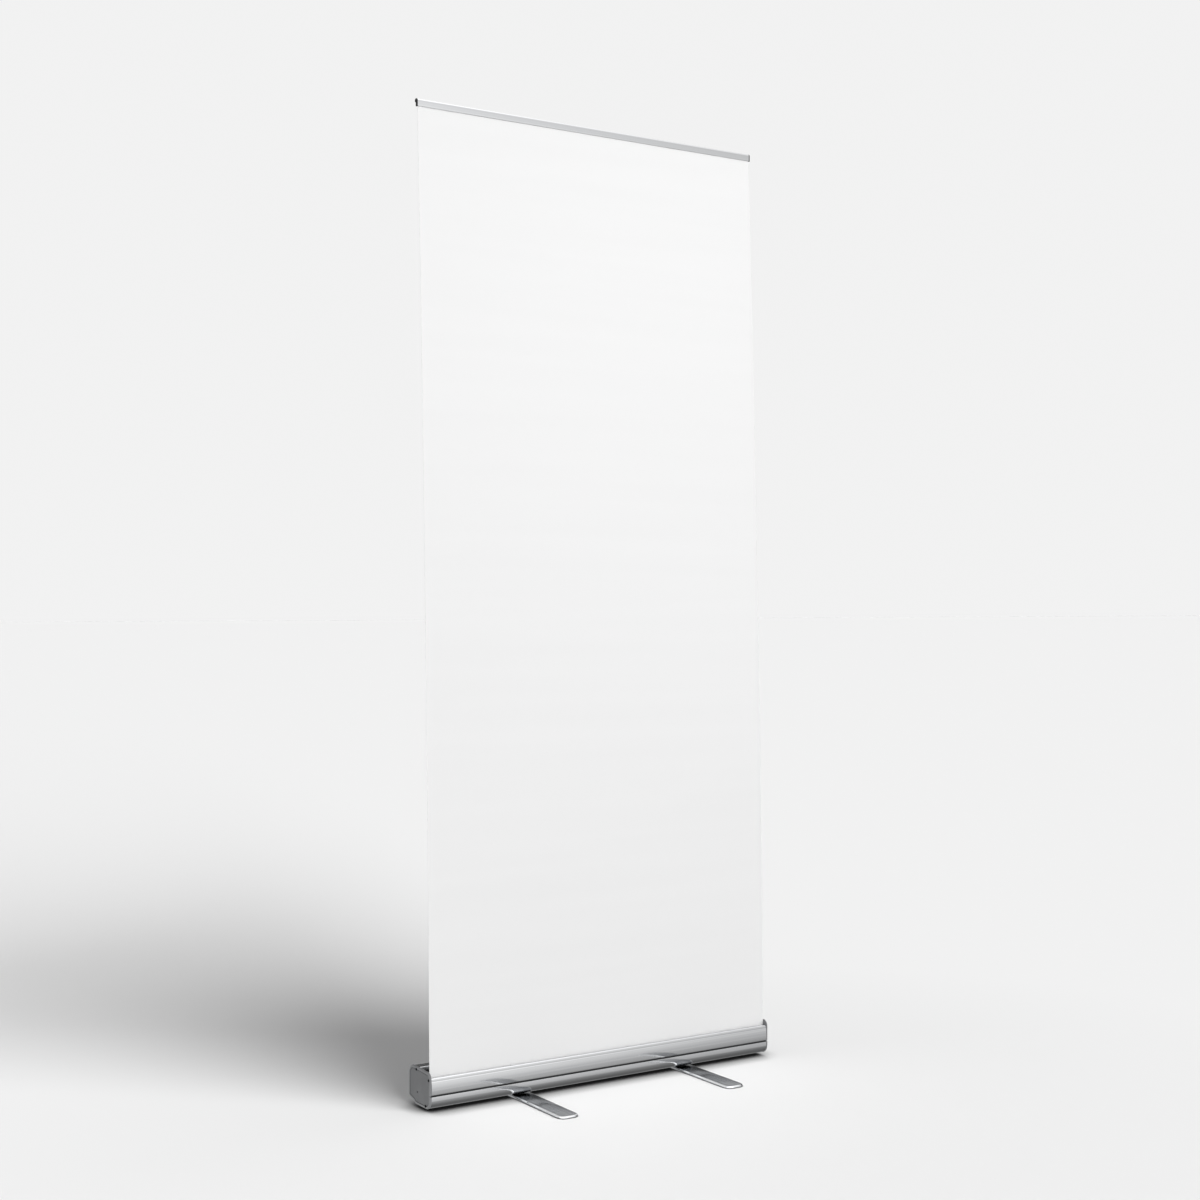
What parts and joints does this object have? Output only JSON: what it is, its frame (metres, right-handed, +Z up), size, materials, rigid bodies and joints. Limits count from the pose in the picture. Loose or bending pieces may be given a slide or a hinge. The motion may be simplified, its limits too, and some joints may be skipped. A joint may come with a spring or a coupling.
{
  "type": "roll-up banner stand",
  "caption": "Roll-up banner stand: spring-roller cassette with swivel feet, blank film, clamp rail and a telescopic rear pole.",
  "frame": {"origin": "on the floor, midway between the two feet's pivots, which is also the middle of the box that the stand fills", "axes": "+Z up, +X to the right of someone who faces the print, +Y away from them, to the side where the pole stands"},
  "size_m": [0.8618, 0.414, 2.0577],
  "materials": {
    "anodised": "clear anodised extrusion, fine die lines along its length",
    "cap_grey": "grey moulded plastic with a fine spark texture",
    "black_plastic": "black moulded plastic",
    "film": "matt white coated polyester film",
    "steel": "zinc plated",
    "dark_steel": "blackened",
    "polished_steel": "pressed and polished, with fine lines along its length"
  },
  "bodies": {
    "base": {"cassette_profile": "anodised", "front_trim": "black_plastic", "end_cap_left": "cap_grey", "end_cap_right": "cap_grey", "cap_screw_left_1": "dark_steel", "cap_screw_left_2": "dark_steel", "cap_screw_left_3": "dark_steel", "cap_screw_right_1": "dark_steel", "cap_screw_right_2": "dark_steel", "cap_screw_right_3": "dark_steel", "idle_axle": "steel", "spring_shaft": "steel", "spring_anchor": "black_plastic", "torsion_spring": "dark_steel", "pole_socket": "black_plastic", "socket_screw_left": "dark_steel", "socket_screw_right": "dark_steel", "pole_lower": "anodised", "collet_lower": "black_plastic", "pivot_rivet_left": "steel", "pivot_rivet_right": "steel", "pivot_washer_left": "black_plastic", "pivot_washer_right": "black_plastic"},
    "roller": {"roller_tube": "anodised", "roller_plug_left": "black_plastic", "roller_plug_right": "black_plastic", "leader_roll": "film"},
    "pole_mid": {"pole_middle": "anodised", "collet_upper": "black_plastic"},
    "pole_top": {"pole_upper": "anodised", "pole_tip": "black_plastic", "top_rail": "anodised", "rail_cap_left": "black_plastic", "rail_cap_right": "black_plastic", "rail_keder": "black_plastic", "banner_film": "film"},
    "collar_lower": {"lock_collar_lower": "black_plastic"},
    "collar_upper": {"lock_collar_upper": "black_plastic"},
    "foot_left": {"foot_left": "polished_steel"},
    "foot_right": {"foot_right": "polished_steel"}
  },
  "joints": [
    {"name": "pole_middle_slide", "type": "slide", "parent": "base", "child": "pole_mid", "axis": [0, 0, 1], "range_m": [-0.595, 0]},
    {"name": "pole_upper_slide", "type": "slide", "parent": "pole_mid", "child": "pole_top", "axis": [0, 0, 1], "range_m": [-0.595, 0], "deforming": ["banner_film"]},
    {"name": "roller_spin", "type": "hinge", "parent": "base", "child": "roller", "pos_m": [0, -0.00005, 0.045], "axis": [1, 0, 0], "range_deg": [0, 3825]},
    {"name": "foot_left_swivel", "type": "hinge", "parent": "base", "child": "foot_left", "pos_m": [-0.207, 0, 0], "axis": [0, 0, 1], "range_deg": [-90, 90]},
    {"name": "foot_right_swivel", "type": "hinge", "parent": "base", "child": "foot_right", "pos_m": [0.207, 0, 0], "axis": [0, 0, 1], "range_deg": [-90, 90]},
    {"name": "collar_lower_turn", "type": "hinge", "parent": "base", "child": "collar_lower", "pos_m": [0, 0.044, 0.75], "axis": [0, 0, 1], "range_deg": [0, 90]},
    {"name": "collar_upper_turn", "type": "hinge", "parent": "pole_mid", "child": "collar_upper", "pos_m": [0, 0.044, 1.39], "axis": [0, 0, 1], "range_deg": [0, 90]}
  ],
  "couplings": [
    {"joint": "pole_upper_slide", "follows": "pole_middle_slide", "ratio": 1},
    {"joint": "roller_spin", "follows": "pole_middle_slide", "rad_per_m": -112.05}
  ]
}
